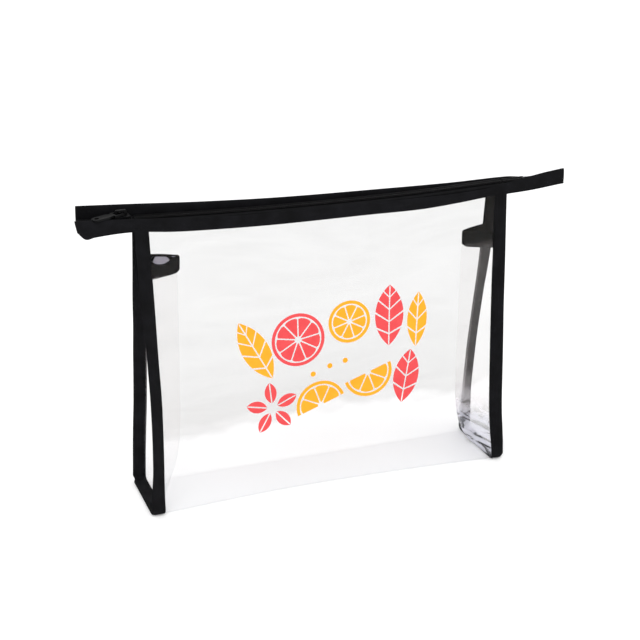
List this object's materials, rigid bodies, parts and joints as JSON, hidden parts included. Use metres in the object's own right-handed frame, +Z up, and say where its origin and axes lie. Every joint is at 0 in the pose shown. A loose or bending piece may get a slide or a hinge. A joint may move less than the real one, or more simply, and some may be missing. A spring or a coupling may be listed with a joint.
{
  "type": "makeup bag",
  "caption": "Clear see-through zip pouch with folded end gussets, black woven binding on every seam, a zip whose ends stand out past the sides, and a simple two-colour print on the front",
  "frame": {"origin": "centre of the bottom of the bounding box, on the surface that the pouch stands on", "axes": "+X along the zip, towards the end where the zip is open; the printed front wall faces -Y; +Z up"},
  "size_m": [0.33, 0.0538, 0.1978],
  "materials": {
    "clear_sheet": "clear flexible sheet, gloss",
    "binding_tape": "fine plain weave",
    "zip_tape": "herringbone weave",
    "zip_coil": "satin nylon",
    "black_metal": "satin black",
    "print_coral": "screen print",
    "print_orange": "screen print"
  },
  "bodies": {
    "base": {"bottom_sheet": "clear_sheet", "gusset_front_left": "clear_sheet", "gusset_back_left": "clear_sheet", "gusset_front_right": "clear_sheet", "gusset_back_right": "clear_sheet", "gusset_tape_left": "binding_tape", "gusset_tape_right": "binding_tape", "bottom_tape_left": "binding_tape", "bottom_tape_right": "binding_tape", "front_rim_end_left": "binding_tape", "front_rim_end_right": "binding_tape", "back_rim_end_left": "binding_tape", "back_rim_end_right": "binding_tape", "front_zip_end_left": "zip_tape", "front_zip_end_right": "zip_tape", "back_zip_end_left": "zip_tape", "back_zip_end_right": "zip_tape", "front_coil_end_left": "zip_coil", "front_coil_end_right": "zip_coil", "back_coil_end_left": "zip_coil", "back_coil_end_right": "zip_coil", "zip_top_stops": "black_metal", "zip_bottom_stop": "black_metal"},
    "front": {"front_sheet": "clear_sheet", "front_tape_left": "binding_tape", "front_tape_right": "binding_tape", "front_rim_tape": "binding_tape", "front_zip_tape": "zip_tape", "front_zip_coil": "zip_coil", "print_coral": "print_coral", "print_orange": "print_orange"},
    "back": {"back_sheet": "clear_sheet", "back_tape_left": "binding_tape", "back_tape_right": "binding_tape", "back_rim_tape": "binding_tape", "back_zip_tape": "zip_tape", "back_zip_coil": "zip_coil"},
    "slider": {"slider": "black_metal"},
    "pull": {"pull": "black_metal"}
  },
  "joints": [
    {"name": "front_open", "type": "hinge", "parent": "base", "child": "front", "pos_m": [0, -0.026, 0.001], "axis": [1, 0, 0], "range_deg": [0, 3.8]},
    {"name": "back_open", "type": "hinge", "parent": "base", "child": "back", "pos_m": [0, 0.026, 0.001], "axis": [-1, 0, 0], "range_deg": [0, 3.8]},
    {"name": "slider_travel", "type": "slide", "parent": "base", "child": "slider", "axis": [1, 0, 0], "range_m": [0, 0.263]},
    {"name": "pull_swing", "type": "hinge", "parent": "slider", "child": "pull", "pos_m": [-0.1315, 0, 0.19565], "axis": [-0.342, 0.9397, 0], "range_deg": [0, 150]}
  ],
  "couplings": [
    {"joint": "back_open", "follows": "front_open", "ratio": 1}
  ]
}
